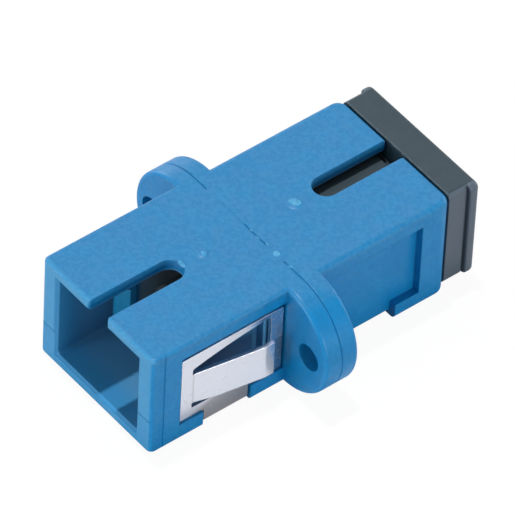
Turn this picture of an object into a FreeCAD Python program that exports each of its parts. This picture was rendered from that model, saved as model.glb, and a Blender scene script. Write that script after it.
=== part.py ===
"""SC fibre-optic adapter, simplex, with a mounting flange, a panel clip and one dust cap.

Two moulded housing halves meet at the middle of the flange. They hold two latch inserts, whose
hooked arms catch a plug, and a two-piece sleeve holder with a split alignment sleeve loose in it.
A spring-steel clip wraps the front half, and a dust cap fills the rear port.

Frame, in millimetres: X across the ears, Y along the optical axis with the open port at -Y, Z up
through the key slots. The origin is the centre of the halves' parting plane.
"""
import FreeCAD, Part
import os

V = FreeCAD.Vector

# Plug port: what the plug needs, and the walls round it
PORT_WIDTH = 9.2
PORT_HEIGHT = 7.5
PORT_CORNER_R = 0.3
PORT_LEAD_IN = 0.25
SIDE_WALL = 1.8
ROOF_WALL = 1.0
KEY_SLOT_WIDTH = 2.1
KEY_SLOT_LENGTH = 7.5
SLOT_MOUTH_R = 0.25

# Outside of the housing
HALF_LENGTH = 13.5
FRONT_LONG_EDGE_R = 0.3
REAR_LONG_EDGE_R = 0.5
FRONT_CORNER_R = 0.5
REAR_CORNER_R = 0.9
SEAM_CHAMFER = 0.08
COLLAR_LENGTH = 1.15
COLLAR_STEP = 0.08
MOUTH_SPLIT_Z = -1.5
MOUTH_SPLIT_STEP = 0.04
MOUTH_SPLIT_GROOVE = 0.12
GATE_OFFSET = 4.15
FRONT_GATE_R = 0.3
REAR_GATE_R = 0.42
GATE_HEIGHT = 0.1
GATE_RING = 0.12
GATE_RING_DEPTH = 0.05

# Flange with its two screw ears
HOLE_PITCH = 18.0
HOLE_R = 1.1
EAR_WALL = 0.9
FLANGE_HALF_THICKNESS = 1.5
FLANGE_EDGE_R = 0.35

# Side recesses, the clip's pocket and the strap's groove
RECESS_DEPTH = 0.65
RECESS_LENGTH = 9.4
RECESS_TOP = 3.45
RECESS_BOTTOM = -3.3
POCKET_WEB = 0.5
GROOVE_START = 4.45
GROOVE_WIDTH = 4.3

# Register pegs between matching halves
HOUSING_PEG_R = 0.5
HOUSING_PEG_LENGTH = 0.6
HOLDER_PEG_R = 0.4
HOLDER_PEG_LENGTH = 0.4
PEG_CLEARANCE = 0.08

# Latch inserts
LATCH_PLATE = 1.2
LATCH_SEAT = 0.4
ARM_REACH = 7.1
ARM_THICKNESS = 0.9
ARM_HEIGHT = 3.2
ARM_GAP = 6.1
HOOK_GAP = 4.9
HOOK_LENGTH = 1.35
HOOK_NOSE = 0.55
ARM_ROOT_R = 0.4

# Sleeve holder and split sleeve
SLEEVE_BORE_R = 1.25
SLEEVE_WALL = 0.35
SLEEVE_LENGTH = 11.4
SLEEVE_SLIT = 0.5
SLEEVE_EDGE = 0.1
SLEEVE_PLAY = 0.15
HOLDER_FLANGE = 0.8
HOLDER_WALL = 0.5
HOLDER_LIP = 0.75
HOLDER_LIP_PLAY = 0.19
HOLDER_MOUTH_CHAMFER = 0.35

# Panel clip, folded from one strip of spring steel
CLIP_THICKNESS = 0.3
CLIP_GAP = 0.15
CLIP_TOP_GAP = 0.45
CLIP_STANDOFF = 0.2
CLIP_BEND_R = 0.25
TONGUE_BEND_R = 0.6
CLIP_CORNER_R = 0.15
CLIP_MARGIN = 1.2
CLIP_BAR = 1.1
TONGUE_TOP = 1.05
TONGUE_HEIGHT = 3.15
TONGUE_SLIT = 0.27
TONGUE_NICK = 0.23
TONGUE_NICK_LENGTH = 1.7
TONGUE_LIFT = 0.95
TONGUE_TIP = 0.8
TONGUE_END_GAP = 1.6
WINDOW_RELIEF = 0.2
WINDOW_FRONT_RISE = 0.55
WINDOW_REAR_RISE = 1.6
WINDOW_BOW = 0.15
WINDOW_CORNER_R = 0.2

# Dust cap
CAP_SIDE_CLEARANCE = 0.1
CAP_INSERT_LENGTH = 6.8
CAP_INSERT_DROP = 0.5
CAP_INSERT_WALL = 0.45
CAP_INSERT_ROOF = 0.7
CAP_NECK_LENGTH = 0.6
CAP_NECK_DEPTH = 0.45
CAP_HEAD_THICKNESS = 2.65
CAP_LIP_THICKNESS = 0.85
CAP_LIP_PROUD = 0.25
CAP_GROOVE_WIDTH = 0.25
CAP_GROOVE_DEPTH = 0.2
CAP_INSET = 0.35
CAP_RAISE = 0.2
CAP_CORNER_R = 0.5
CAP_EDGE_R = 0.15
CAP_BACK_R = 0.4
CAP_SEAT_GAP = 0.03

FIT = 0.05

# Worked-out sizes
body_width = PORT_WIDTH + 2 * SIDE_WALL
body_height = PORT_HEIGHT + 2 * ROOF_WALL
side = body_width / 2
top = body_height / 2
flange_width = HOLE_PITCH + 2 * (HOLE_R + EAR_WALL)
recess_floor = side - RECESS_DEPTH
recess_end = FLANGE_HALF_THICKNESS + RECESS_LENGTH
insert_depth = HOLDER_FLANGE + LATCH_PLATE
seat_width = PORT_WIDTH + 2 * LATCH_SEAT
holder_bore_r = SLEEVE_BORE_R + SLEEVE_WALL + SLEEVE_PLAY
barrel_r = holder_bore_r + HOLDER_WALL
holder_inner_end = SLEEVE_LENGTH / 2 + SLEEVE_PLAY
clip_inner = recess_floor + CLIP_STANDOFF
clip_side = clip_inner + CLIP_THICKNESS
clip_front = recess_end - CLIP_GAP
clip_rear = FLANGE_HALF_THICKNESS + CLIP_GAP
clip_top = RECESS_TOP - CLIP_TOP_GAP
clip_bottom = RECESS_BOTTOM + FIT
tongue_bottom = TONGUE_TOP - TONGUE_HEIGHT
tongue_root = clip_front - CLIP_MARGIN
tongue_tip = FLANGE_HALF_THICKNESS + TONGUE_END_GAP
window_front = tongue_root + WINDOW_RELIEF
window_bottom = tongue_bottom - TONGUE_SLIT
groove_depth = CLIP_THICKNESS + FIT


def box(x, y, z):
    """Box spanning three (low, high) pairs."""
    low = V(x[0], y[0], z[0])
    return Part.makeBox(x[1] - x[0], y[1] - y[0], z[1] - z[0], low)


def edges_along(shape, axis, where=lambda point: True):
    """Straight edges of a shape that run along an axis and whose middle passes a test."""
    picked = []
    for edge in shape.Edges:
        if len(edge.Vertexes) != 2:
            continue
        step = edge.Vertexes[1].Point - edge.Vertexes[0].Point
        straight = abs(step.Length - edge.Length) < 1e-6
        if straight and abs(abs(step.dot(axis)) - edge.Length) < 1e-6 and where(edge.CenterOfMass):
            picked.append(edge)
    return picked


def edges_at(shape, axis, level):
    """Edges of a shape that lie in the plane at a level along an axis."""
    return [edge for edge in shape.Edges
            if all(abs(point.dot(axis) - level) < 1e-6 for point in edge.discretize(4))]


def rounded_bar(x, y, z, radius):
    """Box whose four edges along Y are rounded."""
    bar = box(x, y, z)
    return bar.makeFillet(radius, edges_along(bar, V(0, 1, 0)))


def prism(points, direction):
    """Closed polygon pushed along a direction."""
    return Part.Face(Part.makePolygon(points + points[:1])).extrude(direction)


def cylinder(radius, x, z, y_from, y_to):
    """Cylinder along Y between two levels."""
    return Part.makeCylinder(radius, y_to - y_from, V(x, y_from, z), V(0, 1, 0))


def mirrored(shape):
    """Copy of a shape on the other side of the YZ plane."""
    return shape.mirror(V(0, 0, 0), V(1, 0, 0))


def turned(shape):
    """Copy of a front piece turned half round the Z axis, to face the rear."""
    copy = shape.copy()
    copy.rotate(V(0, 0, 0), V(0, 0, 1), 180)
    return copy


def housing_blank(corner_radius, edge_radius):
    """Outside of one half: the body with its corners rounded, joined to half of the flange."""
    body = box((-side, side), (-HALF_LENGTH, 0), (-top, top))
    end_corners = edges_along(body, V(0, 0, 1), lambda point: point.y < -HALF_LENGTH / 2)
    body = body.makeFillet(corner_radius, end_corners)
    rim = [edge for edge in body.Edges
           if abs(abs(edge.CenterOfMass.z) - top) < 1e-6 and edge.CenterOfMass.y < -1e-3]
    body = body.makeFillet(edge_radius, rim)
    body = body.makeChamfer(SEAM_CHAMFER, edges_at(body, V(0, 1, 0), 0))
    centre = flange_width / 2 - top
    ears = [cylinder(top, x, 0, -FLANGE_HALF_THICKNESS, 0) for x in (-centre, centre)]
    bridge = box((-centre, centre), (-FLANGE_HALF_THICKNESS, 0), (-top, top))
    flange = bridge.fuse(ears).removeSplitter()
    flange = flange.makeFillet(FLANGE_EDGE_R, edges_at(flange, V(0, 1, 0), -FLANGE_HALF_THICKNESS))
    flange = flange.makeChamfer(SEAM_CHAMFER, edges_at(flange, V(0, 1, 0), 0))
    return body.fuse(flange).removeSplitter()


def port_cavity():
    """Space for the plug, its flared mouth, and the wider seat that holds the inner parts."""
    half_w, half_h = PORT_WIDTH / 2, PORT_HEIGHT / 2
    port = rounded_bar((-half_w, half_w), (-HALF_LENGTH, 0), (-half_h, half_h), PORT_CORNER_R)
    rings = []
    for grow, y in ((PORT_LEAD_IN, -HALF_LENGTH), (0, -HALF_LENGTH + PORT_LEAD_IN)):
        x, z = half_w + grow, half_h + grow
        corners = [V(-x, y, -z), V(x, y, -z), V(x, y, z), V(-x, y, z)]
        rings.append(Part.makePolygon(corners + corners[:1]))
    mouth = Part.makeLoft(rings, True, True)
    seat = box((-seat_width / 2, seat_width / 2), (-insert_depth, 0), (-half_h, half_h))
    return port.fuse([mouth, seat])


def key_slot():
    """Slot through the roof with a round closed end and eased corners at the mouth."""
    half = KEY_SLOT_WIDTH / 2
    end = -HALF_LENGTH + KEY_SLOT_LENGTH
    heights = (0, top + 1)
    slot = box((-half, half), (-HALF_LENGTH - 1, end - half), heights)
    slot = slot.fuse(Part.makeCylinder(half, heights[1], V(0, end - half, 0)))
    flare = half + SLOT_MOUTH_R
    ease = box((-flare, flare), (-HALF_LENGTH - 1, -HALF_LENGTH + SLOT_MOUTH_R), heights)
    for x in (-flare, flare):
        ease = ease.cut(Part.makeCylinder(SLOT_MOUTH_R, heights[1], V(x, -HALF_LENGTH + SLOT_MOUTH_R, 0)))
    return slot.fuse(ease)


def side_recess():
    """Shallow recess in the right side, from the flange towards the port's mouth."""
    return box((recess_floor, side + 1), (-recess_end, -FLANGE_HALF_THICKNESS),
               (RECESS_BOTTOM, RECESS_TOP))


def strap_groove():
    """Groove across the bottom that leads the clip's strap from one recess to the other."""
    reach = (-GROOVE_START - GROOVE_WIDTH, -GROOVE_START)
    band = box((-side - 1, side + 1), reach, (-top - 1, RECESS_BOTTOM + 1))
    core = box((-recess_floor, recess_floor), reach, (-top + groove_depth, top))
    lower = edges_along(core, V(0, 1, 0), lambda point: point.z < 0)
    return band.cut(core.makeFillet(CLIP_BEND_R + FIT, lower))


def clip_pocket():
    """Deeper pocket behind the tongue, so that the tongue can be pressed flush."""
    return box((PORT_WIDTH / 2 + POCKET_WEB, side), (-window_front, -tongue_tip + FIT),
               (window_bottom, TONGUE_TOP + WINDOW_REAR_RISE))


def mouth_details():
    """Slightly slimmer collar behind the mouth, and the groove and step where mould slides meet."""
    collar = box((side - COLLAR_STEP, side + 1), (-HALF_LENGTH - 1, -HALF_LENGTH + COLLAR_LENGTH),
                 (-top, top))
    step = box((-side, side), (-HALF_LENGTH, -HALF_LENGTH + MOUTH_SPLIT_STEP), (-top, MOUTH_SPLIT_Z))
    groove = box((-side, side), (-HALF_LENGTH, -HALF_LENGTH + MOUTH_SPLIT_GROOVE),
                 (MOUTH_SPLIT_Z - MOUTH_SPLIT_GROOVE, MOUTH_SPLIT_Z))
    return [collar, mirrored(collar), step, groove]


def gate_dimple(radius):
    """Shallow round hollow in the roof round the gate."""
    return Part.makeCylinder(radius + GATE_RING, ROOF_WALL, V(0, -GATE_OFFSET, top - GATE_RING_DEPTH))


def gate_mark(radius):
    """Low round gate vestige that stands in the middle of its hollow."""
    ball_r = (radius ** 2 + GATE_HEIGHT ** 2) / (2 * GATE_HEIGHT)
    ball = Part.makeSphere(ball_r, V(0, -GATE_OFFSET, top + GATE_HEIGHT - ball_r))
    post = Part.makeCylinder(radius, ROOF_WALL / 2 + GATE_HEIGHT, V(0, -GATE_OFFSET, top - ROOF_WALL / 2))
    return ball.common(post)


def register(shape, radius, length, x, clearance=PEG_CLEARANCE):
    """Adds a peg at +x and its matching hole at -x on the parting plane."""
    peg = cylinder(radius, x, 0, -length / 2, length)
    hole = cylinder(radius + clearance, -x, 0, -length - clearance, 0)
    return shape.cut(hole).fuse(peg)


def housing(corner_radius, edge_radius, gate_radius):
    """One housing half with every cut that both halves share."""
    shape = housing_blank(corner_radius, edge_radius).cut(gate_dimple(gate_radius))
    shape = shape.fuse(gate_mark(gate_radius))
    cuts = [port_cavity(), key_slot(), strap_groove(), side_recess(), mirrored(side_recess())]
    cuts += [cylinder(HOLE_R, x, 0, -FLANGE_HALF_THICKNESS - 1, 1)
             for x in (-HOLE_PITCH / 2, HOLE_PITCH / 2)]
    shape = shape.cut(cuts)
    peg_x = (seat_width / 2 + HOLE_PITCH / 2 - HOLE_R) / 2
    return register(shape, HOUSING_PEG_R, HOUSING_PEG_LENGTH, peg_x).removeSplitter()


def front_housing():
    """Half with the open port, the clip's pockets and the collar round the mouth."""
    cuts = [clip_pocket(), mirrored(clip_pocket())] + mouth_details()
    return housing(FRONT_CORNER_R, FRONT_LONG_EDGE_R, FRONT_GATE_R).cut(cuts).removeSplitter()


def rear_housing():
    """Half that takes the dust cap."""
    return turned(housing(REAR_CORNER_R, REAR_LONG_EDGE_R, REAR_GATE_R))


def latch_arm():
    """Right-hand arm: a flexible finger with a hook that points inwards at its tip."""
    inner, hook = ARM_GAP / 2, HOOK_GAP / 2
    outer = inner + ARM_THICKNESS
    root, tip = -insert_depth, -insert_depth - ARM_REACH
    outline = [V(outer, root + FIT, 0), V(outer, tip + HOOK_NOSE / 2, 0),
               V(outer - HOOK_NOSE / 2, tip, 0), V(inner + FIT, tip, 0),
               V(hook, tip + HOOK_NOSE, 0), V(hook, tip + HOOK_LENGTH - HOOK_NOSE / 2, 0),
               V(inner, tip + HOOK_LENGTH, 0), V(inner, root + FIT, 0)]
    arm = prism(outline, V(0, 0, ARM_HEIGHT))
    arm.translate(V(0, 0, -ARM_HEIGHT / 2))
    web = prism([V(outer - FIT, root + FIT, 0), V(inner - ARM_ROOT_R, root + FIT, 0),
                 V(inner, root - ARM_ROOT_R, 0), V(outer - FIT, root - ARM_ROOT_R, 0)],
                V(0, 0, ARM_HEIGHT))
    web.translate(V(0, 0, -ARM_HEIGHT / 2))
    return arm.fuse(web)


def latch_insert():
    """Front latch insert: a plate round the sleeve holder's barrel with two hooked arms."""
    half_w, half_h = seat_width / 2 - FIT, PORT_HEIGHT / 2 - FIT
    plate = rounded_bar((-half_w, half_w), (-insert_depth, -HOLDER_FLANGE), (-half_h, half_h),
                        PORT_CORNER_R)
    shape = plate.fuse([latch_arm(), mirrored(latch_arm())])
    return shape.cut(cylinder(barrel_r + FIT, 0, 0, -insert_depth - 1, 0)).removeSplitter()


def sleeve_holder():
    """Front half of the sleeve holder: a flange at the parting plane and a barrel with a lip."""
    half_w, half_h = seat_width / 2 - FIT, PORT_HEIGHT / 2 - FIT
    flange = rounded_bar((-half_w, half_w), (-HOLDER_FLANGE, 0), (-half_h, half_h), PORT_CORNER_R)
    mouth = -holder_inner_end - HOLDER_LIP
    lip_r = SLEEVE_BORE_R + HOLDER_LIP_PLAY
    lead = HOLDER_MOUTH_CHAMFER
    barrel = cylinder(barrel_r, 0, 0, mouth, -HOLDER_FLANGE / 2)
    barrel = barrel.makeChamfer(lead / 2, edges_at(barrel, V(0, 1, 0), mouth))
    flare = Part.makeCone(lip_r + lead, lip_r, lead, V(0, mouth, 0), V(0, 1, 0))
    shape = flange.fuse(barrel).cut([cylinder(holder_bore_r, 0, 0, -holder_inner_end, 1),
                                     cylinder(lip_r, 0, 0, mouth - 1, 0), flare])
    peg_x = (barrel_r + half_w) / 2
    return register(shape, HOLDER_PEG_R, HOLDER_PEG_LENGTH, peg_x).removeSplitter()


def split_sleeve():
    """Ceramic alignment sleeve, slit along its top, with eased ends."""
    half = SLEEVE_LENGTH / 2
    ring = cylinder(SLEEVE_BORE_R + SLEEVE_WALL, 0, 0, -half, half)
    ring = ring.cut(cylinder(SLEEVE_BORE_R, 0, 0, -half, half))
    ends = edges_at(ring, V(0, 1, 0), -half) + edges_at(ring, V(0, 1, 0), half)
    ring = ring.makeChamfer(SLEEVE_EDGE, ends)
    slit = SLEEVE_SLIT / 2
    return ring.cut(box((-slit, slit), (-half - 1, half + 1), (0, 2 * (SLEEVE_BORE_R + SLEEVE_WALL))))


def clip_window():
    """Cut in the clip's side: the tongue's outline, and over it a window that opens to the rear."""
    front, rear = -window_front, -clip_rear - CLIP_BAR
    start, end = V(0, front, TONGUE_TOP + WINDOW_FRONT_RISE), V(0, rear, TONGUE_TOP + WINDOW_REAR_RISE)
    middle = (start + end) / 2 + V(0, 0, WINDOW_BOW)
    corners = [end, V(0, rear, window_bottom), V(0, front, window_bottom), start]
    sides = [Part.makeLine(a, b) for a, b in zip(corners[:-1], corners[1:])]
    outline = Part.Wire([Part.Arc(start, middle, end).toShape()] + sides)
    window = Part.Face(outline).extrude(V(side + 1, 0, 0))
    return window.makeFillet(WINDOW_CORNER_R, edges_along(window, V(1, 0, 0)))


def clip_tongue():
    """Right-hand tongue: hinged near the front, flared outwards, its tip turned parallel again."""
    root, bend, tip = -tongue_root, -tongue_tip - TONGUE_TIP, -tongue_tip
    inner, lifted = clip_inner, clip_inner + TONGUE_LIFT
    t = CLIP_THICKNESS
    start = -window_front - t
    outline = [V(inner, start, tongue_bottom), V(inner, root, tongue_bottom),
               V(lifted, bend, tongue_bottom), V(lifted, tip, tongue_bottom),
               V(lifted + t, tip, tongue_bottom), V(lifted + t, bend, tongue_bottom),
               V(inner + t, root, tongue_bottom), V(inner + t, start, tongue_bottom)]
    tongue = prism(outline, V(0, 0, TONGUE_HEIGHT))
    for corner, radius in ((V(inner, root, 0), TONGUE_BEND_R + t), (V(inner + t, root, 0), TONGUE_BEND_R),
                           (V(lifted, bend, 0), TONGUE_BEND_R), (V(lifted + t, bend, 0), TONGUE_BEND_R + t)):
        at = edges_along(tongue, V(0, 0, 1),
                         lambda point: abs(point.x - corner.x) + abs(point.y - corner.y) < 0.01)
        tongue = tongue.makeFillet(radius, at)
    nick = prism([V(0, start - 1, tongue_bottom - 1), V(0, start - 1, tongue_bottom + TONGUE_NICK),
                  V(0, root, tongue_bottom + TONGUE_NICK),
                  V(0, root + TONGUE_NICK_LENGTH, tongue_bottom),
                  V(0, root + TONGUE_NICK_LENGTH, tongue_bottom - 1)], V(side + TONGUE_LIFT, 0, 0))
    return tongue.cut(nick)


def clip_side_plate():
    """Right-hand side of the clip, parallel to the recess's floor, with its window cut out."""
    plate = box((clip_inner, clip_side), (-clip_front, -clip_rear), (clip_bottom, clip_top))
    plate = plate.makeFillet(CLIP_CORNER_R, edges_along(plate, V(1, 0, 0)))
    return plate.cut(clip_window())


def panel_clip():
    """Whole clip: two side plates joined under the body by a narrow strap with round bends."""
    reach = (-GROOVE_START - GROOVE_WIDTH + CLIP_GAP, -GROOVE_START - CLIP_GAP)
    low = -top + groove_depth
    outer = box((-clip_side, clip_side), reach, (low - CLIP_THICKNESS, clip_bottom + CLIP_CORNER_R))
    inner = box((-clip_inner, clip_inner), reach, (low, top))
    bent = []
    for block, radius in ((outer, CLIP_BEND_R + CLIP_THICKNESS), (inner, CLIP_BEND_R)):
        lower = edges_along(block, V(0, 1, 0), lambda point: point.z < low + 1e-3)
        bent.append(block.makeFillet(radius, lower))
    strap = bent[0].cut(bent[1])
    right = clip_side_plate()
    shape = strap.fuse([right, mirrored(right)]).removeSplitter()
    return shape.fuse([clip_tongue(), mirrored(clip_tongue())]).removeSplitter()


def cap_head():
    """Head outside the port: a block, a finger groove, and a lip that stands proud of its sides."""
    half = side - CAP_INSET
    low, high = -top + CAP_RAISE + CAP_INSET / 2, top - CAP_INSET / 2 + CAP_RAISE / 2
    start = HALF_LENGTH + CAP_SEAT_GAP
    lip_start = start + CAP_HEAD_THICKNESS - CAP_LIP_THICKNESS
    block = rounded_bar((-half, half), (start, lip_start + CAP_EDGE_R), (low, high), CAP_CORNER_R)
    grip = (lip_start - CAP_GROOVE_WIDTH, lip_start)
    for x in (-half, half):
        block = block.cut(box((x - CAP_GROOVE_DEPTH, x + CAP_GROOVE_DEPTH), grip, (low - 1, high + 1)))
    wide = half + CAP_LIP_PROUD
    lip = rounded_bar((-wide, wide), (lip_start, start + CAP_HEAD_THICKNESS),
                      (low, high), CAP_CORNER_R)
    lip = lip.makeFillet(CAP_BACK_R, edges_at(lip, V(0, 1, 0), start + CAP_HEAD_THICKNESS))
    return block.fuse(lip.makeFillet(CAP_EDGE_R, edges_at(lip, V(0, 1, 0), lip_start)))


def cap_insert():
    """Hollow plug that fills the port and clears the latch arms and the sleeve holder."""
    half_w, half_h = PORT_WIDTH / 2 - CAP_SIDE_CLEARANCE, PORT_HEIGHT / 2 - CAP_SIDE_CLEARANCE
    head = HALF_LENGTH + CAP_SEAT_GAP
    end = HALF_LENGTH - CAP_INSERT_LENGTH
    roof = half_h - CAP_INSERT_DROP
    plug = rounded_bar((-half_w, half_w), (end, head), (-half_h, roof), PORT_CORNER_R)
    plug = plug.makeChamfer(CAP_EDGE_R, edges_at(plug, V(0, 1, 0), end))
    bore_w = half_w - CAP_INSERT_WALL
    neck = (head - CAP_NECK_LENGTH, head)
    hollow = box((-bore_w, bore_w), (end - 1, neck[0] - CAP_NECK_LENGTH),
                 (-half_h + CAP_INSERT_ROOF, roof - CAP_INSERT_ROOF))
    band = box((-half_w - 1, half_w + 1), neck, (roof - CAP_NECK_DEPTH, half_h + 1))
    return plug.cut([hollow, band])


def dust_cap():
    """Rear dust cap, head and insert in one moulding."""
    return cap_head().fuse(cap_insert()).removeSplitter()


def main():
    """Builds every piece and writes one STEP file for each."""
    front_latch, front_holder = latch_insert(), sleeve_holder()
    pieces = {
        "front_housing": front_housing(),
        "rear_housing": rear_housing(),
        "front_latch": front_latch,
        "rear_latch": turned(front_latch),
        "front_sleeve_holder": front_holder,
        "rear_sleeve_holder": turned(front_holder),
        "split_sleeve": split_sleeve(),
        "panel_clip": panel_clip(),
        "dust_cap": dust_cap(),
    }
    os.makedirs("parts", exist_ok=True)
    for name, shape in pieces.items():
        shape.exportStep(os.path.join("parts", name + ".step"))
        print(name, len(shape.Solids), "solid", shape.isValid(), round(shape.Volume, 3), "mm3")


if __name__ == "__main__":
    main()
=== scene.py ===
"""Looks of the SC fibre-optic adapter: finishes, small moulding marks, studio and camera.

Everything is in metres unless a name ends in _mm, in the part's own frame: X across the ears, Y along
the optical axis with the open port at -Y, Z up through the key slots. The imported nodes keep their
shapes and get their finishes here.
"""
import logging
import math
from dataclasses import dataclass, replace
from enum import Enum
from functools import cached_property
from typing import Any, Protocol, Sequence, Union

import bpy
from mathutils import Matrix, Vector


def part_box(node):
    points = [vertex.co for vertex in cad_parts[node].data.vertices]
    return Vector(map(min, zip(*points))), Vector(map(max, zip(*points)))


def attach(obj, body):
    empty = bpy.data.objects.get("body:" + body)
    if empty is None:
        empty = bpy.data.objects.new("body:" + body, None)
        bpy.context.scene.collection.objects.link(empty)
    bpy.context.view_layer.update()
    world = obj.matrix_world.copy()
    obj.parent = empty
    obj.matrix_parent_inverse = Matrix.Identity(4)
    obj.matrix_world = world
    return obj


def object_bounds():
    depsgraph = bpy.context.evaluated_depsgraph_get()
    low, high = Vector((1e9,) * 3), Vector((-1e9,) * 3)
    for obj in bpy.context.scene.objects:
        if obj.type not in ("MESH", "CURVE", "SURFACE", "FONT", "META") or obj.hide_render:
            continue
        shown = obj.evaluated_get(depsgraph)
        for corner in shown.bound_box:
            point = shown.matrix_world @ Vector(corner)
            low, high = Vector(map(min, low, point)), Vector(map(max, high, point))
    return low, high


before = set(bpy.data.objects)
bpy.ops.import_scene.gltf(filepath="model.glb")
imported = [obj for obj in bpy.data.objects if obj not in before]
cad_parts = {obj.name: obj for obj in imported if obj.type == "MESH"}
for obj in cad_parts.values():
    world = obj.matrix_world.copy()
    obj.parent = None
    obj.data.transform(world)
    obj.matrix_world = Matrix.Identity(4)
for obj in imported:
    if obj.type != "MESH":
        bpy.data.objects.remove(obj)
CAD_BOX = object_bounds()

log = logging.getLogger("adapter")

MM = 0.001
Triple = tuple[float, float, float]
WHITE: Triple = (1.0, 1.0, 1.0)


class Slot(Enum):
    """Material slots of the record."""

    HOUSING = "housing_plastic"
    LATCH = "latch_plastic"
    HOLDER = "holder_plastic"
    ZIRCONIA = "zirconia"
    STEEL = "spring_steel"
    CAP = "cap_plastic"


class Body(Enum):
    """Bodies that pieces ride on."""

    ADAPTER = "adapter"
    CAP = "cap"


# ---------------------------------------------------------------- shader tools

Feed = Union["Number", "bpy.types.NodeSocket", float, int, Sequence[float]]


@dataclass(frozen=True)
class Number:
    """One number in a node tree. Arithmetic on it adds the Math nodes.

    Attributes:
        wiring: The tree.
        socket: The output that gives the number.
    """

    wiring: "Wiring"
    socket: bpy.types.NodeSocket

    def math(self, operation: str, *values: Feed) -> "Number":
        """Adds one Math node.

        Args:
            operation: The Math node's operation.
            values: Its operands, in order.

        Returns:
            The node's result.
        """
        node = self.wiring.add("ShaderNodeMath", {"operation": operation}, dict(enumerate(values)))
        return self.wiring.number(node)

    def __add__(self, other: Feed) -> "Number":
        """Sum."""
        return self.math("ADD", self, other)

    __radd__ = __add__

    def __sub__(self, other: Feed) -> "Number":
        """Difference."""
        return self.math("SUBTRACT", self, other)

    def __rsub__(self, other: Feed) -> "Number":
        """Difference from a plain value."""
        return self.math("SUBTRACT", other, self)

    def __mul__(self, other: Feed) -> "Number":
        """Product."""
        return self.math("MULTIPLY", self, other)

    __rmul__ = __mul__

    def size(self) -> "Number":
        """Absolute value."""
        return self.math("ABSOLUTE", self)

    def larger(self, other: Feed) -> "Number":
        """The larger of two values."""
        return self.math("MAXIMUM", self, other)

    def rise(self, start: float, full: float) -> "Number":
        """Smooth step from 0 to 1.

        Args:
            start: Value at which the step is 0.
            full: Value at which it is 1; it may be the smaller of the two.

        Returns:
            The step, between 0 and 1.
        """
        node = self.wiring.add("ShaderNodeMapRange", {"interpolation_type": "SMOOTHSTEP"},
                               {"Value": self, "From Min": min(start, full), "From Max": max(start, full),
                                "To Min": float(start > full), "To Max": float(start < full)})
        return self.wiring.number(node, "Result")


def opaque(colour: Triple) -> tuple[float, float, float, float]:
    """A colour with full alpha."""
    return (*colour, 1.0)


class Wiring:
    """A node tree, and the one way that nodes are added to it."""

    def __init__(self, tree: bpy.types.NodeTree) -> None:
        """Takes a tree and empties it.

        Args:
            tree: The tree of a material or of the world.
        """
        self.tree = tree
        self.tree.nodes.clear()

    def add(self, kind: str, settings: dict[str, Any] | None = None,
            values: dict[Any, Feed] | None = None) -> bpy.types.Node:
        """Adds one node.

        Args:
            kind: The node's type.
            settings: Its properties, set first.
            values: Values or links of its sockets, by name or number.

        Returns:
            The new node.
        """
        node = self.tree.nodes.new(kind)
        for key, value in (settings or {}).items():
            setattr(node, key, value)
        for key, value in (values or {}).items():
            if isinstance(value, Number):
                value = value.socket
            if isinstance(value, bpy.types.NodeSocket):
                self.tree.links.new(value, node.inputs[key])
            else:
                node.inputs[key].default_value = value
        return node

    def number(self, node: bpy.types.Node, output: str | int = 0) -> Number:
        """An output of a node, as a number."""
        return Number(self, node.outputs[output])

    def blend(self, amount: Feed, first: Feed, second: Feed) -> bpy.types.NodeSocket:
        """Mixes two colours.

        Args:
            amount: Share of the second one.
            first: Colour, or socket.
            second: Colour, or socket.

        Returns:
            The mixed colour.
        """
        first_in, second_in, colour_out = 6, 7, 2
        node = self.add("ShaderNodeMix", {"data_type": "RGBA"},
                        {0: amount, first_in: first, second_in: second})
        return node.outputs[colour_out]

    def mix_shaders(self, share: Feed, first: bpy.types.Node,
                    second: bpy.types.Node) -> bpy.types.NodeSocket:
        """Mixes two shaders.

        Args:
            share: Share of the second one.
            first: Shader node.
            second: Shader node.

        Returns:
            The mixed shader.
        """
        return self.add("ShaderNodeMixShader", None,
                        {0: share, 1: first.outputs[0], 2: second.outputs[0]}).outputs[0]


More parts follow.
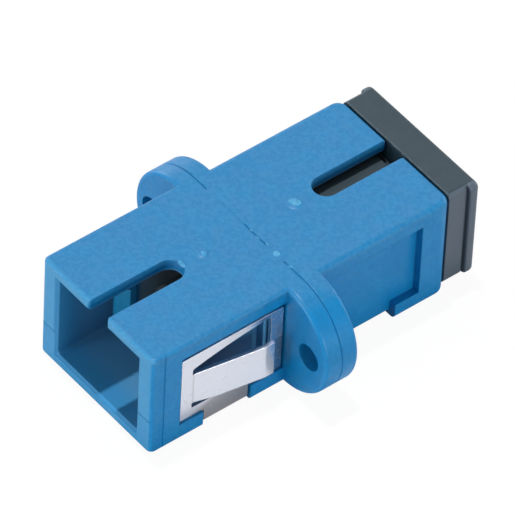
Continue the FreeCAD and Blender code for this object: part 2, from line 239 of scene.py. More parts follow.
class Bench(Wiring):
    """Node tree of one material, with the pieces that the finishes use."""

    def __init__(self, name: str) -> None:
        """Starts an empty material.

        Args:
            name: The material's name.
        """
        self.material = bpy.data.materials.new(name)
        self.material.use_nodes = True
        super().__init__(self.material.node_tree)

    @cached_property
    def place(self) -> bpy.types.NodeSocket:
        """The point in the piece's own coordinates, in metres."""
        return self.add("ShaderNodeTexCoord").outputs["Object"]

    @cached_property
    def axes(self) -> tuple[Number, Number, Number]:
        """Splits the point's place.

        Returns:
            X, Y and Z, in millimetres.
        """
        scaled = self.add("ShaderNodeVectorMath", {"operation": "SCALE"},
                          {0: self.place, "Scale": 1 / MM})
        split = self.add("ShaderNodeSeparateXYZ", None, {0: scaled.outputs[0]})
        return tuple(self.number(split, axis) for axis in "XYZ")

    def stretched(self, scale: Triple) -> bpy.types.NodeSocket:
        """Coordinates stretched along the axes, for grain that runs one way."""
        return self.add("ShaderNodeMapping", None, {"Vector": self.place, "Scale": scale}).outputs[0]

    def noise(self, grain_mm: float, detail: float = 2.0, roughness: float = 0.5,
              distortion: float = 0.0, place: bpy.types.NodeSocket | None = None) -> Number:
        """Soft noise.

        Args:
            grain_mm: Width of one blotch.
            detail: Octaves added to it.
            roughness: Weight of the finer octaves.
            distortion: How far the noise is warped.
            place: Coordinates, or None for the piece's own.

        Returns:
            The noise, mostly between 0.3 and 0.7.
        """
        node = self.add("ShaderNodeTexNoise", None,
                        {"Vector": place or self.place, "Scale": 1 / (grain_mm * MM), "Detail": detail,
                         "Roughness": roughness, "Distortion": distortion})
        return self.number(node, "Fac")

    def soft_edges(self, radius_mm: float) -> bpy.types.NodeSocket:
        """Normals that turn smoothly round each edge, as a tool rounded by use leaves them."""
        return self.add("ShaderNodeBevel", {"samples": 8}, {"Radius": radius_mm * MM}).outputs[0]

    def relief(self, height: Number, depth_mm: float, strength: float,
               normal: bpy.types.NodeSocket) -> bpy.types.NodeSocket:
        """Bumps the surface.

        Args:
            height: Height, 0 to 1.
            depth_mm: What a height of 1 stands for.
            strength: Share of the bump that is used.
            normal: Normals that the bump is added to.

        Returns:
            The bumped normals.
        """
        return self.add("ShaderNodeBump", None, {"Strength": strength, "Distance": depth_mm * MM,
                                                 "Height": height, "Normal": normal}).outputs[0]

    def output(self, surface: bpy.types.NodeSocket) -> bpy.types.Material:
        """Ends the material in a shader."""
        self.add("ShaderNodeOutputMaterial", None, {"Surface": surface})
        return self.material

    def close(self, values: dict[str, Feed]) -> bpy.types.Material:
        """Ends the material in one Principled shader.

        Args:
            values: Values or links of the shader's sockets.

        Returns:
            The material.
        """
        return self.output(self.add("ShaderNodeBsdfPrincipled", None, values).outputs[0])


@dataclass(frozen=True)
class Spots:
    """Soft spots scattered over a surface.

    Attributes:
        grain_mm: Width of one spot.
        start: Noise at which a spot begins.
        full: Noise at which it is full.
        detail: Octaves of the noise.
        roughness: Weight of the finer octaves.
        distortion: How far the spots are warped.
    """

    grain_mm: float
    start: float
    full: float
    detail: float = 3.0
    roughness: float = 0.6
    distortion: float = 0.0

    def on(self, bench: Bench) -> Number:
        """How full the spots are at each point, 0 to 1."""
        noise = bench.noise(self.grain_mm, self.detail, self.roughness, self.distortion)
        return noise.rise(self.start, self.full)


# ---------------------------------------------------------------- painted light and shade on plastic


class Layer(Protocol):
    """Something that changes a finish's colour in one region."""

    def over(self, bench: Bench, tint: Feed) -> bpy.types.NodeSocket:
        """Lays itself over a colour.

        Args:
            bench: The material.
            tint: The colour so far.

        Returns:
            The changed colour.
        """


@dataclass(frozen=True)
class PaintedRoofSheen:
    """The upward face, painted greyer as a painted sheen of the light from above.

    Attributes:
        colour: Its colour, linear.
        level_mm: Z from which it is full.
        ease_mm: Height over which it comes in below that.
    """

    colour: Triple
    level_mm: float = 4.35
    ease_mm: float = 0.3

    def over(self, bench: Bench, tint: Feed) -> bpy.types.NodeSocket:
        """Lays itself over a colour."""
        _, _, z = bench.axes
        return bench.blend(z.rise(self.level_mm - self.ease_mm, self.level_mm), tint, opaque(self.colour))


@dataclass(frozen=True)
class PaintedRimHighlight:
    """The open port's rim, with a painted highlight along its top edge and on its front face, brighter in
    flecks.

    Attributes:
        colour: Colour of the rim's painted highlight, linear.
        front_mm: Y at which the rim's painted highlight is full.
        top_mm: Z at which it is full.
        ease_mm: Distance over which it comes in.
        flecks: Where the painted highlight is brighter.
        even: Share of the painted highlight with no fleck.
        flecked: Share that a fleck adds.
        face_mm: Distances before front_mm between which the front face's own painted highlight comes in.
        face_share: Share of that painted highlight.
    """

    colour: Triple = (0.12, 0.42, 0.64)
    front_mm: float = -13.4
    top_mm: float = 4.55
    ease_mm: float = 0.3
    flecks: Spots = Spots(0.22, 0.52, 0.62)
    even: float = 0.2
    flecked: float = 0.2
    face_mm: tuple[float, float] = (0.02, 0.08)
    face_share: float = 0.3

    def over(self, bench: Bench, tint: Feed) -> bpy.types.NodeSocket:
        """Lays itself over a colour.

        Args:
            bench: The material.
            tint: The colour so far.

        Returns:
            The changed colour.
        """
        _, y, z = bench.axes
        # Painted highlight along the top front edge, and on the front face below it.
        edge = y.rise(self.front_mm + self.ease_mm, self.front_mm) * z.rise(self.top_mm - self.ease_mm,
                                                                            self.top_mm)
        painted_light = edge * (self.flecks.on(bench) * self.flecked + self.even)
        face = y.rise(*(self.front_mm - depth for depth in self.face_mm))
        return bench.blend(painted_light.larger(face * self.face_share), tint, opaque(self.colour))


@dataclass(frozen=True)
class PaintedShadeWalls:
    """Walls inside the ports and in the pockets behind the clip, in painted shade: paler and greyer than
    the housing, greyest deeper in.

    Attributes:
        colour: Their painted shade near the mouths, linear.
        deep: Their painted shade deeper in, linear.
        deep_mm: Distances from the middle, along Y, between which the deeper colour comes in.
        port_mm: Half width and half height of the ports.
        pocket_mm: Half width, and Y from and to, of the pockets.
        ease_mm: Distance over which the walls' colour ends.
    """

    colour: Triple = (0.035, 0.235, 0.480)
    deep: Triple = (0.062, 0.235, 0.435)
    deep_mm: tuple[float, float] = (12.6, 10.6)
    port_mm: tuple[float, float] = (4.9, 3.85)
    pocket_mm: Triple = (5.9, -9.75, -2.45)
    ease_mm: float = 0.1

    def over(self, bench: Bench, tint: Feed) -> bpy.types.NodeSocket:
        """Lays itself over a colour.

        Args:
            bench: The material.
            tint: The colour so far.

        Returns:
            The changed colour.
        """
        x, y, z = bench.axes
        half_width, half_height = self.port_mm
        pocket_half, front, back = self.pocket_mm
        pocket = (x.size().rise(pocket_half + self.ease_mm, pocket_half)
                  * y.rise(front - self.ease_mm, front) * y.rise(back + self.ease_mm, back))
        inside = (x.size().rise(half_width + self.ease_mm, half_width).larger(pocket)
                  * z.size().rise(half_height + self.ease_mm, half_height))
        # Painted shade on the walls inside, greyer deeper in.
        wall = bench.blend(y.size().rise(*self.deep_mm), opaque(self.colour), opaque(self.deep))
        return bench.blend(inside, tint, wall)


@dataclass(frozen=True)
class PaintedPaleShade:
    """Painted shade: a paler grey on the stretch nearest the middle, which lies deep in shadow.

    Attributes:
        colour: Colour of the painted shade, linear.
        clear_mm: Distance from the middle, along Y, at which there is none.
        full_mm: Distance at which it is full.
    """

    colour: Triple
    clear_mm: float
    full_mm: float

    def over(self, bench: Bench, tint: Feed) -> bpy.types.NodeSocket:
        """Lays itself over a colour."""
        _, y, _ = bench.axes
        return bench.blend(y.size().rise(self.clear_mm, self.full_mm), tint, opaque(self.colour))


@dataclass(frozen=True)
class PaintedLitSides:
    """The sides, painted paler than the top as the light falls on them.

    Attributes:
        colour: Their colour, linear.
        side_mm: X from which it is full, on both sides.
        ease_mm: Distance over which it comes in before that.
    """

    colour: Triple
    side_mm: float = 5.8
    ease_mm: float = 0.1

    def over(self, bench: Bench, tint: Feed) -> bpy.types.NodeSocket:
        """Lays itself over a colour."""
        x, _, _ = bench.axes
        return bench.blend(x.size().rise(self.side_mm - self.ease_mm, self.side_mm), tint,
                           opaque(self.colour))


@dataclass(frozen=True)
class PaintedLipHighlight:
    """A painted highlight along a leading edge on the top, brighter in places.

    Attributes:
        colour: Colour of the painted highlight, linear.
        back_mm: Y at which there is none.
        full_mm: Y at which it is full.
        top_mm: Z between which it comes in.
        flecks: Where it is brightest.
        even: Share of the painted highlight with no fleck.
        flecked: Share that a fleck adds.
    """

    colour: Triple
    back_mm: float = 13.69
    full_mm: float = 13.59
    top_mm: tuple[float, float] = (4.4, 4.5)
    flecks: Spots = Spots(0.5, 0.40, 0.60)
    even: float = 0.4
    flecked: float = 0.6

    def over(self, bench: Bench, tint: Feed) -> bpy.types.NodeSocket:
        """Lays itself over a colour.

        Args:
            bench: The material.
            tint: The colour so far.

        Returns:
            The changed colour.
        """
        _, y, z = bench.axes
        edge = y.rise(self.back_mm, self.full_mm) * z.rise(*self.top_mm)
        painted_light = edge * (self.flecks.on(bench) * self.flecked + self.even)
        return bench.blend(painted_light, tint, opaque(self.colour))


# ---------------------------------------------------------------- finishes


@dataclass(frozen=True)
class MouldedPlastic:
    """Moulded thermoplastic with a spark-eroded grain.

    Attributes:
        name: The material's name.
        colour: Main colour, linear.
        pale: Colour where the surface is scuffed or stressed, linear.
        gloss_break: Roughness.
        mottle: How far the colour drifts over the surface.
        grain_mm: Width of one dimple of the grain.
        grain_depth_mm: Depth of the grain.
        edge_mm: Rounding that the tool leaves on plain edges.
        ior: Index of refraction.
        specular: Specular level.
        grain_strength: Share of the grain's bump that is used.
        shade: What the darker patches keep of the main colour.
        cloud: Wide drifts towards the pale colour.
        patch: Small darker patches.
        scuff: Scuffs.
        scuff_share: Share of the drift that a scuff shows.
        dimple_gloss: How far the grain changes the roughness.
        cloud_gloss: How much glossier a drift is.
        scuff_gloss: How much rougher a scuff is.
        patch_relief: Share of the patches in the bump; the rest is the grain.
        base: Painted light that changes the main colour before the drifts.
        painted_light: Painted light and shade that lie over them.
    """

    name: str
    colour: Triple
    pale: Triple
    gloss_break: float = 0.4
    mottle: float = 0.25
    grain_mm: float = 0.06
    grain_depth_mm: float = 0.006
    edge_mm: float = 0.09
    ior: float = 1.48
    specular: float = 0.5
    grain_strength: float = 0.35
    shade: float = 0.84
    cloud: Spots = Spots(1.3, 0.38, 0.64, detail=4.0)
    patch: Spots = Spots(0.33, 0.40, 0.62, distortion=0.4)
    scuff: Spots = Spots(0.7, 0.58, 0.70, 6.0, 0.75, 1.2)
    scuff_share: float = 0.6
    dimple_gloss: float = 0.16
    cloud_gloss: float = 0.05
    scuff_gloss: float = 0.06
    patch_relief: float = 0.25
    base: tuple[Layer, ...] = ()
    painted_light: tuple[Layer, ...] = ()

    def make(self) -> bpy.types.Material:
        """Builds the material.

        Returns:
            The material.
        """
        bench = Bench(self.name)
        cloud, patch, scuff = (spots.on(bench) for spots in (self.cloud, self.patch, self.scuff))
        dimple = bench.noise(self.grain_mm, roughness=0.55)
        tint = opaque(self.colour)
        # Painted sheen on the upward face, where a finish has one.
        for layer in self.base:
            tint = layer.over(bench, tint)
        shaded = opaque(tuple(self.shade * part for part in self.colour))
        tint = bench.blend(cloud * self.mottle, tint, opaque(self.pale))
        tint = bench.blend(patch * self.mottle, tint, shaded)
        tint = bench.blend(scuff * (self.scuff_share * self.mottle), tint, opaque(self.pale))
        # Painted light and shade over the drifts.
        for layer in self.painted_light:
            tint = layer.over(bench, tint)
        rough = (self.gloss_break + (dimple - 0.5) * self.dimple_gloss - cloud * self.cloud_gloss
                 + scuff * self.scuff_gloss)
        height = dimple * (1 - self.patch_relief) + patch * self.patch_relief
        normal = bench.relief(height, self.grain_depth_mm, self.grain_strength,
                              bench.soft_edges(self.edge_mm))
        return bench.close({"Base Color": tint, "Roughness": rough, "IOR": self.ior, "Normal": normal,
                            "Specular IOR Level": self.specular})


@dataclass(frozen=True)
class RolledSteel:
    """Bright stainless spring strip with fine rolling lines along Y.

    Attributes:
        name: The material's name.
        colour: Metal colour, linear.
        gloss_break: Roughness.
        line_mm: Width of one rolling line.
        line_stretch: How the lines are drawn out along X, Y and Z; less is longer.
        line_share: Share of the darker colour in a line.
        line_gloss: How far a line changes the roughness.
        shade: What a line keeps of the metal colour.
        stain: Stains.
        stain_colour: Their colour, linear.
        stain_share: Share of it in a stain.
        stain_gloss: How much rougher a stain is.
        strap_shade: How far the strap is painted darker towards the bottom, a painted reflection of the
            floor's shadow.
        strap_shade_colour: Its colour there, linear.
        strap_shade_slope: How much higher the painted shade reaches for each step along Y.
        strap_shade_top_mm: Heights at Y = 0 between which the painted shade comes in.
        strap_shade_side_mm: X, on both sides, between which it comes in; the tongues stand further out.
        crease_mm: Y of the line where the tongues are folded outwards.
        crease_half_mm: Distances from it between which the darker band along the fold comes in.
        crease_top_mm: Z between which it comes in from above.
        crease_foot_mm: Z between which it comes in from below.
        crease_colour: Its colour, linear.
        crease_share: Share of that colour in it.
        wave_mm: Width of one shallow wave in the strip.
        relief_mm: Depth of the lines and waves.
        relief_strength: Share of their bump that is used.
        edge_mm: Rounding of the sheared edges.
    """

    name: str
    colour: Triple = (0.87, 0.90, 0.98)
    gloss_break: float = 0.24
    line_mm: float = 0.05
    line_stretch: Triple = (1.0, 0.04, 1.0)
    line_share: float = 0.3
    line_gloss: float = 0.18
    shade: float = 0.78
    stain: Spots = Spots(0.5, 0.55, 0.75, 5.0, 0.7, 0.8)
    stain_colour: Triple = (0.52, 0.50, 0.50)
    stain_share: float = 0.18
    stain_gloss: float = 0.08
    strap_shade: float = 0.6
    strap_shade_colour: Triple = (0.42, 0.40, 0.40)
    strap_shade_slope: float = 0.41
    strap_shade_top_mm: tuple[float, float] = (1.2, 0.5)
    strap_shade_side_mm: tuple[float, float] = (6.38, 6.28)
    crease_mm: float = -9.66
    crease_half_mm: tuple[float, float] = (0.10, 0.03)
    crease_top_mm: tuple[float, float] = (1.1, 1.0)
    crease_foot_mm: tuple[float, float] = (-2.0, -1.85)
    crease_colour: Triple = (0.50, 0.50, 0.52)
    crease_share: float = 0.45
    wave_mm: float = 1.6
    relief_mm: float = 0.012
    relief_strength: float = 0.25
    edge_mm: float = 0.05

    def make(self) -> bpy.types.Material:
        """Builds the material.

        Returns:
            The material.
        """
        bench = Bench(self.name)
        x, y, z = bench.axes
        line = bench.noise(self.line_mm, 3.0, 0.7, place=bench.stretched(self.line_stretch))
        wave = bench.noise(self.wave_mm)
        stain = self.stain.on(bench)
        shaded = opaque(tuple(self.shade * part for part in self.colour))
        tint = bench.blend(line * self.line_share, opaque(self.colour), shaded)
        tint = bench.blend(stain * self.stain_share, tint, opaque(self.stain_colour))
        # Painted shade on the strap: darker towards the bottom, a painted reflection of the floor's
        # shadow.
        strap = (z - y * self.strap_shade_slope).rise(*self.strap_shade_top_mm) * x.size().rise(*self.strap_shade_side_mm)
        tint = bench.blend(strap * self.strap_shade, tint, opaque(self.strap_shade_colour))
        # A darker band along the fold line.
        crease = ((y - self.crease_mm).size().rise(*self.crease_half_mm)
                  * z.rise(*self.crease_top_mm) * z.rise(*self.crease_foot_mm))
        tint = bench.blend(crease * self.crease_share, tint, opaque(self.crease_colour))
        rough = self.gloss_break + (line - 0.5) * self.line_gloss + stain * self.stain_gloss
        normal = bench.relief(line * 0.5 + wave * 0.5, self.relief_mm, self.relief_strength,
                              bench.soft_edges(self.edge_mm))
        return bench.close({"Base Color": tint, "Metallic": 1.0, "Roughness": rough, "Normal": normal})


@dataclass(frozen=True)
class PolishedZirconia:
    """Dense white ceramic, ground and polished, that lets a little light in.

    Attributes:
        name: The material's name.
        colour: Main colour, linear.
        pale: Colour that it drifts to, linear.
        drift: Share of the pale colour.
        cloud_mm: Width of one drift.
        grind_mm: Width of one grinding mark.
        grind_stretch: How the marks are drawn out along X, Y and Z; less is longer.
        gloss_break: Roughness.
        grind_gloss: How far a mark changes it.
        relief_mm: Depth of the marks.
        relief_strength: Share of their bump that is used.
        edge_mm: Rounding of the edges.
        ior: Index of refraction.
        glow: Share of the light that passes below the surface.
        glow_radius: How far red, green and blue light go there, in metres.
    """

    name: str
    colour: Triple = (0.83, 0.81, 0.76)
    pale: Triple = (0.90, 0.89, 0.86)
    drift: float = 0.3
    cloud_mm: float = 0.8
    grind_mm: float = 0.03
    grind_stretch: Triple = (1.0, 12.0, 1.0)
    gloss_break: float = 0.16
    grind_gloss: float = 0.12
    relief_mm: float = 0.002
    relief_strength: float = 0.2
    edge_mm: float = 0.03
    ior: float = 2.1
    glow: float = 0.1
    glow_radius: Triple = (0.0006, 0.0005, 0.0004)

    def make(self) -> bpy.types.Material:
        """Builds the material.

        Returns:
            The material.
        """
        bench = Bench(self.name)
        cloud = bench.noise(self.cloud_mm, 3.0, 0.6)
        grind = bench.noise(self.grind_mm, 2.0, 0.6, place=bench.stretched(self.grind_stretch))
        tint = bench.blend(cloud * self.drift, opaque(self.colour), opaque(self.pale))
        rough = self.gloss_break + (grind - 0.5) * self.grind_gloss
        normal = bench.relief(grind, self.relief_mm, self.relief_strength, bench.soft_edges(self.edge_mm))
        return bench.close({"Base Color": tint, "Roughness": rough, "IOR": self.ior, "Normal": normal,
                            "Subsurface Weight": self.glow, "Subsurface Radius": self.glow_radius})


BLUE_PLASTIC = MouldedPlastic("blue housing plastic", (0.001, 0.186, 0.450), (0.008, 0.215, 0.470),
                              mottle=0.55, ior=1.42, specular=0.35,
                              # Painted sheen on the upward face.
                              base=(PaintedRoofSheen((0.026, 0.196, 0.422)),),
                              # Painted highlight on the port's rim, and painted shade on the walls inside
                              # the ports.
                              painted_light=(PaintedRimHighlight(), PaintedShadeWalls()))
WELD_PLASTIC = replace(BLUE_PLASTIC, name="blue weld plastic", edge_mm=0.008)
# Paler plastic for the weld beads and gate scars, partly stress-whitened and partly painted highlight.
SCUFFED_HIGHLIT_PLASTIC = MouldedPlastic("scuffed and highlit blue plastic", (0.035, 0.270, 0.510), (0.090, 0.360, 0.590),
                                 gloss_break=0.55, mottle=0.7, grain_mm=0.12, edge_mm=0.008, ior=1.42)
# The latches' stretch nearest the middle, deep in shadow, is painted a paler grey as painted shade.
LATCH_PLASTIC = MouldedPlastic("blue latch plastic", (0.008, 0.185, 0.360), (0.018, 0.195, 0.375),
                               gloss_break=0.38, grain_depth_mm=0.003, specular=0.3,
                               painted_light=(PaintedPaleShade((0.250, 0.310, 0.320), 7.5, 6.9),))
HOLDER_PLASTIC = MouldedPlastic("dark holder plastic", (0.040, 0.050, 0.056), (0.060, 0.070, 0.078),
                                gloss_break=0.36, grain_depth_mm=0.003)
CAP_PALE = (0.055, 0.085, 0.105)
CAP_PLASTIC = MouldedPlastic("black cap plastic", (0.014, 0.034, 0.049), CAP_PALE,
                             gloss_break=0.42, mottle=0.1, grain_mm=0.09, ior=1.42, specular=0.42,
                             # Painted shade on the cap's insert, a paler grey.
                             painted_light=(PaintedPaleShade((0.044, 0.068, 0.080), 13.5, 13.2),
                                   # Painted light on the cap's sides, and a painted highlight along its
                                   # front top edge.
                                   PaintedLitSides((0.072, 0.098, 0.130)), PaintedLipHighlight(CAP_PALE)))
SPRING_STEEL = RolledSteel("spring steel strip")
ZIRCONIA = PolishedZirconia("polished zirconia")

FINISHES: dict[Slot, MouldedPlastic | RolledSteel | PolishedZirconia] = {
    Slot.HOUSING: BLUE_PLASTIC, Slot.LATCH: LATCH_PLASTIC, Slot.HOLDER: HOLDER_PLASTIC,
    Slot.ZIRCONIA: ZIRCONIA, Slot.STEEL: SPRING_STEEL, Slot.CAP: CAP_PLASTIC,
}


# ---------------------------------------------------------------- modelling by hand


class Hands:
    """Object-mode steps that the pieces share."""

    @staticmethod
    def let_go() -> None:
        """Leaves edit mode and deselects every object."""
        if bpy.context.object and bpy.context.object.mode != "OBJECT":
            bpy.ops.object.mode_set(mode="OBJECT")
        bpy.ops.object.select_all(action="DESELECT")

    @staticmethod
    def settle(piece: bpy.types.Object) -> bpy.types.Object:
        """Makes an object the selected one, and moves its place, turn and size into its mesh.

        Args:
            piece: The object.

        Returns:
            The same object.
        """
        Hands.let_go()
        piece.select_set(True)
        bpy.context.view_layer.objects.active = piece
        bpy.ops.object.transform_apply(location=True, rotation=True, scale=True)
        return piece

    @staticmethod
    def join(pieces: Sequence[bpy.types.Object], name: str) -> bpy.types.Object:
        """Joins objects into one.

        Args:
            pieces: The objects; the first stays.
            name: The joined object's name.

        Returns:
            The joined object.
        """
        Hands.let_go()
        for piece in pieces:
            piece.select_set(True)
        bpy.context.view_layer.objects.active = pieces[0]
        bpy.ops.object.join()
        pieces[0].name = name
        return pieces[0]


@dataclass
class SubAssembly:
    """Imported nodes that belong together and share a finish.

    Attributes:
        nodes: The nodes' names.
        slot: Their material slot, which decides their finish.
        body: The body that carries them.
    """

    nodes: tuple[str, ...]
    slot: Slot
    body: Body = Body.ADAPTER

    def build(self) -> None:
        """Gives each node its finish in every material slot."""
        material = FINISHES[self.slot].make()
        for name in self.nodes:
            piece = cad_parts[name]
            for held in piece.material_slots:
                held.material = material
            log.info("%s, on the %s: %s, %d faces", name, self.body.value, material.name,
                     len(piece.data.polygons))


def seed_at(place_mm: float) -> int:
    """The seed of what is uneven at a place, the same in each run."""
    return int(abs(10 * place_mm))


@dataclass(frozen=True)
class Blob:
    """One small lump of plastic on the roof: melted weld flash, what a gate leaves, or a pale lump that
    is a painted highlight.

    Attributes:
        x_mm: Place across.
        y_mm: Place along.
        size_mm: Half length, half width and height.
        turn: Turn about Z, in degrees.
        rough_mm: How uneven it is.
        sunk_mm: How far its middle lies below the roof.
    """

    x_mm: float
    y_mm: float
    size_mm: Triple
    turn: float = 0.0
    rough_mm: float = 0.012
    sunk_mm: float = 0.02


@dataclass(frozen=True)
class Fill:
    """One stretch of the seam that the weld has filled.

    Attributes:
        start_mm: X of its left end.
        end_mm: X of its right end.
        sunk_mm: How far its top lies below the roof.
    """

    start_mm: float
    end_mm: float
    sunk_mm: float = 0.004


@dataclass
class Housing(SubAssembly):
    """The two moulded halves, and on their roof the weld's fills and beads, the gates' scars and a
    painted highlight at the slot's closed end.

    Attributes:
        fills: Filled stretches of the seam, from left to right.
        mounds: Low mounds that the halves' gates stand on.
        beads: Beads on the seam.
        scars_and_highlight: Torn gates, before and behind the flange, and a pale lump at the slot's
            closed end that is a painted highlight.
        gate_mm: How far the gate marks stand above the roof.
        seam_mm: Width and depth of the seam's groove.
        overlap: How much wider than the groove a fill is.
        fill_parts: Stretches that a fill is cut into.
        fill_rough_mm: How uneven a fill is.
        fill_edge_mm: Rounding of its edges.
        fill_seed: Added to the seed of a fill's unevenness.
        ball_faces: Faces round a lump, and from its top to its bottom.
        cut_mm: How far below the roof a lump is cut off.
        merge: Distance under which a cut merges points; so small a piece loses its shape with more.
        smooth_deg: Angle up to which two faces look like one curve, in degrees.
    """

    nodes: tuple[str, ...] = ("front_housing", "rear_housing")
    slot: Slot = Slot.HOUSING
    fills: tuple[Fill, ...] = (
        Fill(-4.76, -3.62), Fill(-3.70, -0.45, 0.012), Fill(2.05, 4.08), Fill(4.48, 4.84),
    )
    mounds: tuple[Blob, ...] = (
        Blob(0.0, -4.15, (0.88, 0.88, 0.49), rough_mm=0.0, sunk_mm=0.4),
        Blob(0.0, 4.15, (1.10, 1.10, 0.49), rough_mm=0.0, sunk_mm=0.4),
    )
    beads: tuple[Blob, ...] = (
        Blob(0.30, 0.05, (0.14, 0.08, 0.045), 4.0),
        Blob(1.15, -0.05, (0.20, 0.07, 0.045), -6.0),
        Blob(2.02, 0.10, (0.16, 0.10, 0.07), -25.0),
        Blob(3.17, 0.03, (0.30, 0.25, 0.14), 12.0, 0.02),
        Blob(4.78, 0.09, (0.13, 0.07, 0.05), 10.0),
    )
    scars_and_highlight: tuple[Blob, ...] = (
        Blob(0.10, -4.13, (0.36, 0.28, 0.25), 20.0, 0.03, 0.1),
        Blob(-0.02, 4.20, (0.58, 0.44, 0.25), -35.0, 0.05, 0.1),
        # A pale lump where the slot's closed end catches the light: a painted highlight.
        Blob(-0.05, -5.98, (0.40, 0.18, 0.07), 8.0, 0.03),
    )
    gate_mm: float = 0.1
    seam_mm: float = 0.16
    overlap: float = 1.25
    fill_parts: int = 8
    fill_rough_mm: float = 0.003
    fill_edge_mm: float = 0.012
    fill_seed: int = 3
    ball_faces: int = 32
    cut_mm: float = 0.04
    merge: float = 1e-8
    smooth_deg: float = 50.0

    def build(self) -> None:
        """Dresses both halves and makes the small marks on their roof."""
        super().build()
        _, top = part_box(self.nodes[0])
        roof = top[2] - self.gate_mm * MM
        smooth = [self.fill(one, roof) for one in self.fills]
        smooth += [self.lump(one, roof) for one in self.mounds]
        # The beads and scars are painted pale, partly as a painted highlight.
        scuffed = SCUFFED_HIGHLIT_PLASTIC.make()
        self.keep(smooth, "weld_fills", WELD_PLASTIC.make())
        self.keep([self.lump(one, roof) for one in self.beads], "weld_beads", scuffed)
        self.keep([self.lump(one, roof) for one in self.scars_and_highlight], "gate_scars_and_highlight", scuffed)

    def keep(self, made: Sequence[bpy.types.Object], name: str, material: bpy.types.Material) -> None:
        """Joins small pieces into one, and dresses and mounts it.

        Args:
            made: The small pieces.
            name: The joined piece's name.
            material: Its finish.
        """
        piece = Hands.settle(Hands.join(made, name))
        bpy.ops.object.shade_smooth_by_angle(angle=math.radians(self.smooth_deg))
        piece.data.materials.append(material)
        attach(piece, Body.ADAPTER.value)
        log.info("%s: %d lumps, %d faces", name, len(made), len(piece.data.polygons))

    def fill(self, one: Fill, roof: float) -> bpy.types.Object:
        """Shapes one fill from a block: cut along its length, made uneven, its edges rounded.

        Args:
            one: The fill.
            roof: Height of the roof, in metres.

        Returns:
            The fill.
        """
        Hands.let_go()
        length, depth = (one.end_mm - one.start_mm) * MM, self.seam_mm * MM
        place = ((one.start_mm + one.end_mm) / 2 * MM, 0.0, roof - one.sunk_mm * MM - depth / 2)
        bpy.ops.mesh.primitive_cube_add(size=1.0, location=place,
                                        scale=(length, self.overlap * depth, depth))
        block = Hands.settle(bpy.context.object)
        bpy.ops.object.mode_set(mode="EDIT")
        for step in range(1, self.fill_parts):
            cut = one.start_mm * MM + length * step / self.fill_parts
            bpy.ops.mesh.select_all(action="SELECT")
            bpy.ops.mesh.bisect(plane_co=(cut, 0, 0), plane_no=(1, 0, 0), threshold=self.merge)
        bpy.ops.mesh.select_all(action="SELECT")
        seed = self.fill_seed + seed_at(one.start_mm)
        bpy.ops.transform.vertex_random(offset=self.fill_rough_mm * MM, seed=seed)
        bpy.ops.mesh.bevel(offset=self.fill_edge_mm * MM, segments=2)
        bpy.ops.object.mode_set(mode="OBJECT")
        return block

    def lump(self, one: Blob, roof: float) -> bpy.types.Object:
        """Shapes one lump from a ball: flattened, turned, made uneven and cut off below the roof.

        Args:
            one: The lump.
            roof: Height of the roof, in metres.

        Returns:
            The lump.
        """
        Hands.let_go()
        place = (one.x_mm * MM, one.y_mm * MM, roof - one.sunk_mm * MM)
        bpy.ops.mesh.primitive_uv_sphere_add(segments=self.ball_faces, ring_count=self.ball_faces,
                                             radius=MM, location=place)
        ball = bpy.context.object
        bpy.ops.object.mode_set(mode="EDIT")
        bpy.ops.mesh.select_all(action="SELECT")
        bpy.ops.transform.resize(value=one.size_mm, center_override=place)
        bpy.ops.transform.rotate(value=math.radians(one.turn), orient_axis="Z", center_override=place)
        seed = seed_at(one.x_mm + one.y_mm)
        bpy.ops.transform.vertex_random(offset=one.rough_mm * MM, seed=seed)
        bpy.ops.mesh.vertices_smooth(factor=0.5, repeat=2)
        bpy.ops.mesh.bisect(plane_co=(place[0], place[1], roof - self.cut_mm * MM), plane_no=(0, 0, 1),
                            clear_inner=True, use_fill=True, threshold=self.merge)
        bpy.ops.object.mode_set(mode="OBJECT")
        return ball


@dataclass
class PanelClip(SubAssembly):
    """The folded spring clip."""

    nodes: tuple[str, ...] = ("panel_clip",)
    slot: Slot = Slot.STEEL


@dataclass
class Latches(SubAssembly):
    """The two inserts whose hooked arms hold a plug."""

    nodes: tuple[str, ...] = ("front_latch", "rear_latch")
    slot: Slot = Slot.LATCH


@dataclass
class SleeveHolder(SubAssembly):
    """The two halves of the sleeve's holder."""

    nodes: tuple[str, ...] = ("front_sleeve_holder", "rear_sleeve_holder")
    slot: Slot = Slot.HOLDER


@dataclass
class SplitSleeve(SubAssembly):
    """The ceramic sleeve that lines two ferrules up."""

    nodes: tuple[str, ...] = ("split_sleeve",)
    slot: Slot = Slot.ZIRCONIA


@dataclass
class DustCap(SubAssembly):
    """The rear dust cap."""

    nodes: tuple[str, ...] = ("dust_cap",)
    slot: Slot = Slot.CAP
    body: Body = Body.CAP


# ---------------------------------------------------------------- studio and camera


@dataclass(frozen=True)
class SoftBox:
    """One area lamp that points at the object.

    Attributes:
        name: The lamp's name.
        away: Direction from the object to the lamp.
        distance: Distance from the object.
        size: Side of the square lamp.
        power: Power, in watts.
    """

    name: str
    away: Triple
    distance: float
    size: float
    power: float

    def build(self) -> None:
        """Adds the lamp."""
        Hands.let_go()
        away = Vector(self.away).normalized()
        bpy.ops.object.light_add(type="AREA", location=away * self.distance,
                                 rotation=away.to_track_quat("Z", "Y").to_euler())
        lamp = bpy.context.object
        lamp.name, lamp.data.name = self.name, self.name
        lamp.data.size, lamp.data.energy = self.size, self.power


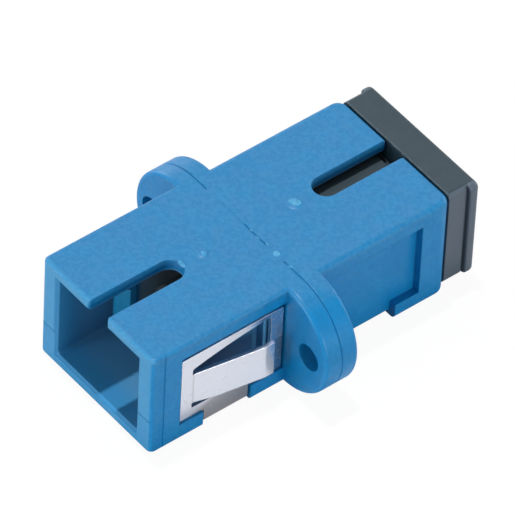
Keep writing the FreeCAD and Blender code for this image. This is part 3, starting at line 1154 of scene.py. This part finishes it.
@dataclass
class Studio:
    """Pale floor, plain soft light and a white surround.

    Attributes:
        lamps: The area lamps.
        surround: Strength of the surround as a light.
        floor_half: Half the floor's side.
        floor_cuts: Cuts across the floor, each way.
        floor_drop: How far the floor lies below the object, so that no two faces share a plane.
        floor_colour: The floor's colour as it lights the object.
        floor_seen_colour: Its colour as the camera sees it.
        seen_share: Share of plain white in the floor as the camera sees it; the rest holds the shadow.
        mirrored_share: The same, as a gloss shows it.
    """

    lamps: tuple[SoftBox, ...] = (
        SoftBox("overhead lamp", (-0.155, 0.02, 1.0), 1.00, 0.035, 5.9),
        SoftBox("high back lamp", (-0.53, 0.45, 0.72), 0.90, 0.60, 0.9),
        SoftBox("front lamp", (-0.10, -1.0, 0.16), 0.80, 0.50, 5.5),
        SoftBox("right lamp", (1.0, 0.06, 0.10), 0.80, 0.35, 4.0),
        SoftBox("left lamp", (-1.0, 0.10, 0.12), 0.80, 0.50, 2.6),
        SoftBox("rear lamp", (0.10, 1.0, 0.12), 0.80, 0.50, 2.6),
    )
    surround: float = 0.24
    floor_half: float = 1.5
    floor_cuts: int = 3
    floor_drop: float = 0.02 * MM
    floor_colour: Triple = (0.68, 0.68, 0.68)
    floor_seen_colour: Triple = (0.90, 0.90, 0.90)
    seen_share: float = 0.94
    mirrored_share: float = 0.02

    def build(self, level: float) -> None:
        """Makes the floor, the surround and the lamps.

        Args:
            level: Height of the object's lowest point.
        """
        self.lay_floor(level - self.floor_drop)
        self.hang_surround()
        for lamp in self.lamps:
            lamp.build()
        log.info("studio: %d lamps", len(self.lamps))

    def lay_floor(self, level: float) -> None:
        """Lays the floor, its top at a level.

        Args:
            level: Height of the floor.
        """
        Hands.let_go()
        bpy.ops.mesh.primitive_plane_add(size=2 * self.floor_half, location=(0, 0, level))
        floor = bpy.context.object
        floor.name = "floor"
        bpy.ops.object.mode_set(mode="EDIT")
        bpy.ops.mesh.select_all(action="SELECT")
        bpy.ops.mesh.subdivide(number_cuts=self.floor_cuts)
        bpy.ops.object.mode_set(mode="OBJECT")
        Hands.settle(floor)
        floor.data.materials.append(self.floor_paint())

    def floor_paint(self) -> bpy.types.Material:
        """Mixes a pale paint that the camera sees as white paper, with a shadow on it.

        Returns:
            The material.
        """
        bench = Bench("pale floor")
        ray = bench.add("ShaderNodeLightPath")
        seen, gloss, glass = (bench.number(ray, f"Is {kind} Ray")
                              for kind in ("Camera", "Glossy", "Transmission"))
        share = (seen * self.seen_share).larger(gloss.larger(glass) * self.mirrored_share)
        tint = bench.blend(seen, opaque(self.floor_colour), opaque(self.floor_seen_colour))
        paint = bench.add("ShaderNodeBsdfDiffuse", None, {"Color": tint})
        white = bench.add("ShaderNodeEmission", None, {"Color": opaque(WHITE), "Strength": 1.0})
        return bench.output(bench.mix_shaders(share, paint, white))

    def hang_surround(self) -> None:
        """Hangs a white surround: a plain light, and plain white where it is seen or mirrored."""
        world = bpy.data.worlds.new("white surround")
        bpy.context.scene.world = world
        world.use_nodes = True
        wiring = Wiring(world.node_tree)
        ray = wiring.add("ShaderNodeLightPath")
        seen, gloss, glass = (wiring.number(ray, f"Is {kind} Ray")
                              for kind in ("Camera", "Glossy", "Transmission"))
        light, white = (wiring.add("ShaderNodeBackground", None,
                                   {"Color": opaque(WHITE), "Strength": strength})
                        for strength in (self.surround, 1.0))
        mixed = wiring.mix_shaders(seen.larger(gloss).larger(glass), light, white)
        wiring.add("ShaderNodeOutputWorld", None, {"Surface": mixed})


@dataclass
class Viewpoint:
    """The camera, far off with a long lens.

    Attributes:
        turn: Degrees round from straight in front of the open port, towards +X.
        tilt: Degrees above the floor.
        roll: Degrees that the camera leans.
        distance: Distance to the object.
        aside: How far the aim lies right of the origin, as the camera sees it.
        above: How far it lies above the origin.
        lens_mm: Focal length.
        near: Distance from which the camera sees.
    """

    turn: float = 49.386
    tilt: float = 46.205
    roll: float = 3.064
    distance: float = 0.5882
    aside: float = 0.824 * MM
    above: float = 1.190 * MM
    lens_mm: float = 576.7
    near: float = 0.01

    def build(self) -> None:
        """Adds the camera and makes it the scene's."""
        turn, tilt, roll = (math.radians(angle) for angle in (self.turn, self.tilt, self.roll))
        back = Vector((math.sin(turn) * math.cos(tilt), -math.cos(turn) * math.cos(tilt),
                       math.sin(tilt)))
        level = Vector((math.cos(turn), math.sin(turn), 0.0))
        upright = back.cross(level)
        right = math.cos(roll) * level + math.sin(roll) * upright
        up = math.cos(roll) * upright - math.sin(roll) * level
        spot = back * self.distance + right * self.aside + up * self.above
        Hands.let_go()
        bpy.ops.object.camera_add()
        camera = bpy.context.object
        camera.name = "main camera"
        camera.data.lens = self.lens_mm
        camera.data.clip_start = self.near
        turned = Matrix((right, up, back)).transposed().to_4x4()
        camera.matrix_world = Matrix.Translation(spot) @ turned
        bpy.context.scene.camera = camera
        log.info("camera at %s", tuple(round(part, 4) for part in spot))


def main() -> None:
    """Sets up the camera and the studio, then builds every sub-assembly."""
    logging.basicConfig(level=logging.INFO, format="%(name)s: %(message)s")
    bpy.context.scene.view_settings.view_transform = "Standard"
    Viewpoint().build()
    Studio().build(CAD_BOX[0][2])
    for part in (Housing(), PanelClip(), Latches(), SleeveHolder(), SplitSleeve(), DustCap()):
        part.build()


if __name__ == "__main__":
    main()
